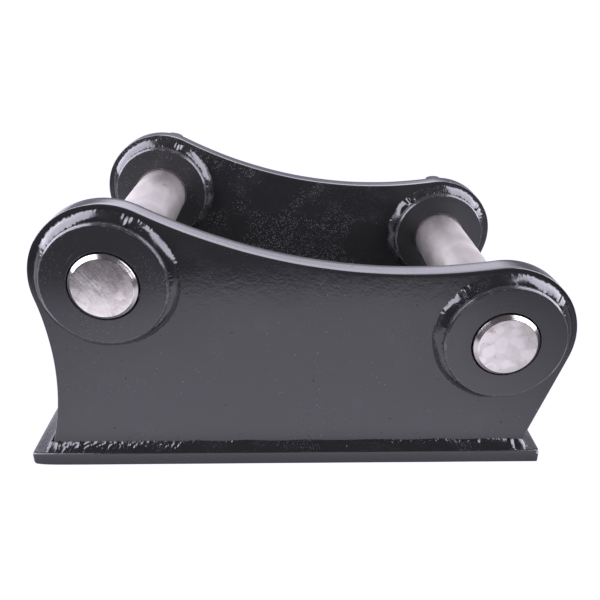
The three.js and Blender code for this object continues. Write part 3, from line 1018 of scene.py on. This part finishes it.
def bolt_rows(steps=72):
    """Rows of a hexagon-head bolt from the middle of its head to its tip."""
    full = np.ones(steps)
    under, pitch = SEAT + 2.2, 1.25
    head, tip = under + 5.3, under - 100.0
    chamfer = head - np.linspace(0, 1.25, 9)
    rows = [(3.0 * full, head), *zip(coned(chamfer, head, steps), chamfer), (hexagon(steps), under + 0.05),
            (hexagon(steps) - 0.2, under), (4.3 * full, under), (4.0 * full, under - 0.3), (4.0 * full, tip + 23)]
    heights = np.arange(tip + 22, tip + 0.7, -pitch / 8)
    a = once_round(steps)[None]
    groove = np.abs(((heights[:, None] / pitch - a / (2 * math.pi)) % 1) - 0.5) * 2
    runout = np.clip((tip + 22 - heights) / 1.5, 0, 1)[:, None]
    rows += list(zip(3.98 - 0.62 * groove * runout, heights))
    rows += [(3.2 * full, tip + 0.1), (2.9 * full, tip), (1.5 * full, tip)]
    return np.array([r for r, _ in rows]), np.array([h for _, h in rows])


def nut_rows(steps=72):
    """Rows of a lock nut, closed: the hexagon coned at both ends, then the collar round its insert."""
    full = np.ones(steps)
    top, shoulder, tip = -SEAT - 2.2, -SEAT - 8.3, -SEAT - 10.2
    chamfer = top - np.linspace(0, 0.9, 7)
    lower = shoulder + np.linspace(0.9, 0, 7)
    rows = [(4.3 * full, top - 0.4), (4.7 * full, top), *zip(coned(chamfer, top, steps), chamfer),
            *zip(coned(lower, shoulder, steps, 6.0), lower), (5.75 * full, shoulder - 0.1), (5.7 * full, tip + 0.7),
            (5.55 * full, tip + 0.3), (5.2 * full, tip), (4.95 * full, tip + 0.05), (4.8 * full, tip + 0.4),
            (4.3 * full, tip + 0.45), (4.3 * full, tip + 1.4)]
    return np.array([r for r, _ in rows]), np.array([h for _, h in rows])


def fastener(name, node, body, side, radii, heights, closed):
    """A round or six-sided piece on the bolt's line. Its rim is where the radius passes the flats."""
    grid = on_bolt_line(post(radii, heights, radii.shape[1]), side)
    points, faces = shell(grid, wrap_rows=closed, cap_ends=not closed)
    rim = np.clip((radii - 6.9) / 0.45, 0, 1).ravel()
    rim = np.concatenate([rim, np.zeros(len(points) - len(rim))])
    piece = add_piece(name, points, faces, black_oxide, body, "black_oxide", (node,), rim=rim)
    piece.data.set_sharp_from_angle(angle=math.radians(28))
    return piece


# %% Bolts, washers and nuts in place
def washer_rows(bottom, steps=64):
    """Rows of a washer, closed: a flat ring 1.6 mm thick with soft edges."""
    top = bottom + 1.6
    corners = [(BOLT_HOLE_R, bottom), (8.0, bottom), (8.0, top), (BOLT_HOLE_R, top)]
    profile = softened(corners, [0.15, 0.3, 0.3, 0.2], 5)
    return np.repeat(profile[:, :1], steps, 1), profile[:, 1]


FASTENERS = [("hex_bolt", "bolt", "bolt", bolt_rows(), False),
             ("head_washer", "upper_washer", "bolt", washer_rows(SEAT + 0.3), True),
             ("nut_washer", "lower_washer", "washer", washer_rows(-SEAT - 1.9), True),
             ("lock_nut", "lock_nut", "nut", nut_rows(), True)]
for side in SIDES:
    for name, node, body, (radii, heights), closed in FASTENERS:
        fastener(f"{name}_{side}", f"{side}_{node}", f"{side}_{body}", side, radii, heights, closed)
print("fasteners made")

# %% [markdown]
# ## Floor and light
#
# The bracket stands on a pale bench top that ends a little in front of it, under two long soft
# panels, left and right, with a bright wall behind. The dark room in front and above is what makes
# black enamel read: it mirrors the bench low down and the room higher up.

# %% Floor
LILAC = (0.985, 0.96, 1.13, 1)
BENCH_EDGE, BENCH_LIGHT = (-0.475, -0.425), 1.87


def bench():
    """A flat bench top. The camera sees it plain, and the enamel mirrors a dimmer glow with a painted shadow under
    the bracket and a painted fall-off of light to the sides.
    """
    x, y, z = (-4000, 4000), (-560, 5000), -0.4
    grid = np.array([[x[0], y[0], z], [x[1], y[0], z], [x[1], y[1], z], [x[0], y[1], z]]) * MM
    mesh = bpy.data.meshes.new("bench_top")
    mesh.from_pydata(grid.tolist(), [], [(0, 1, 2, 3)])
    top = placed("bench_top", mesh)
    material = bpy.data.materials.new("pale_bench")
    start = empty_tree(material)
    place = start.node("ShaderNodeTexCoord", out=3)
    near = place.along((0, 1, 0)).step(*BENCH_EDGE)
    beside = abs(place.along((1, 0, 0)))
    # Painted shadow: the glow that the enamel mirrors is dimmed in a patch under the bracket, standing in for the
    # bracket's shadow on the bench.
    under = beside.step(0.21, 0.18) * abs(place.along((0, 1, 0))).step(0.158, 0.122)
    seen = start.node("ShaderNodeLightPath")
    # Painted light: the mirrored glow fades to both sides, more to the right, as a pool of light painted on the
    # bench.
    left, right = (place.along((way, 0, 0)).step(0.12, 0.4) for way in (-1, 1))
    glow_with_painted_shade = near * BENCH_LIGHT * (1.0 - under * 0.55) * (1.0 - left * 0.5) * (1.0 - right * 0.8)
    strength = seen * 1.05 + (1.0 - seen) * glow_with_painted_shade
    glow = start.node("ShaderNodeEmission", None, {"Color": LILAC, "Strength": strength})
    start.node("ShaderNodeOutputMaterial", None, {0: glow})
    mesh.materials.append(material)
    return top


bench()
print("bench top made")

# %% Room light
world = bpy.data.worlds.new("studio")
bpy.context.scene.world = world
start = empty_tree(world)
way = start.node("ShaderNodeTexCoord", out=0)
behind = way.along((0, 1, 0)).step(0.02, 0.4)
lifted = way.along((0, 0, 1)).step(0.22, 0.42) * 0.95 + 0.05
above = way.along((0, 0, 1)).step(0.44, 0.65)
aside = way.along((1, 0, 0)).step(-0.1, -0.4) * 0.2 + way.along((1, 0, 0)).step(0.1, 0.4) * 0.6
seen = start.node("ShaderNodeLightPath")
glow = seen * 1.1 + (1.0 - seen) * (0.2 + behind * lifted * (1.0 - above) * (1.0 - aside) * 3.4)
backdrop = start.node("ShaderNodeBackground", None, {"Color": LILAC, "Strength": glow})
start.node("ShaderNodeOutputWorld", None, {0: backdrop})
print("room light made")


# %% Soft panels
def panel(name, top, bottom, near, far, radiance):
    """A soft box between its top and bottom edges (x, z) that runs from near to far along Y.

    Its radiance is its power over pi times its area.
    """
    top, bottom = np.array([top[0], 0.0, top[1]]), np.array([bottom[0], 0.0, bottom[1]])
    down = Vector(bottom - top).normalized()
    side = Vector((0, 1, 0))
    away = down.cross(side)
    middle = Vector((top + bottom) / 2) + side * (near + far) / 2
    if away.dot(middle) < 0:
        side = -side
        away = down.cross(side)
    data = bpy.data.lights.new(name, "AREA")
    data.shape = "RECTANGLE"
    data.size, data.size_y = float(np.linalg.norm(top - bottom)) * MM, (far - near) * MM
    data.energy = radiance * math.pi * data.size * data.size_y
    data.color = LILAC[:3]
    lamp = placed(name, data)
    lamp.matrix_world = Matrix.Translation(middle * MM) @ Matrix((down, side, away)).transposed().to_4x4()
    lamp.visible_camera = False
    print(name, round(data.energy, 1), "W")


panel("left_panel", (-330, 690), (-900, 240), -420, 410, 9.5)
panel("right_panel", (512, 961), (1000, 160), -460, 490, 9.5)
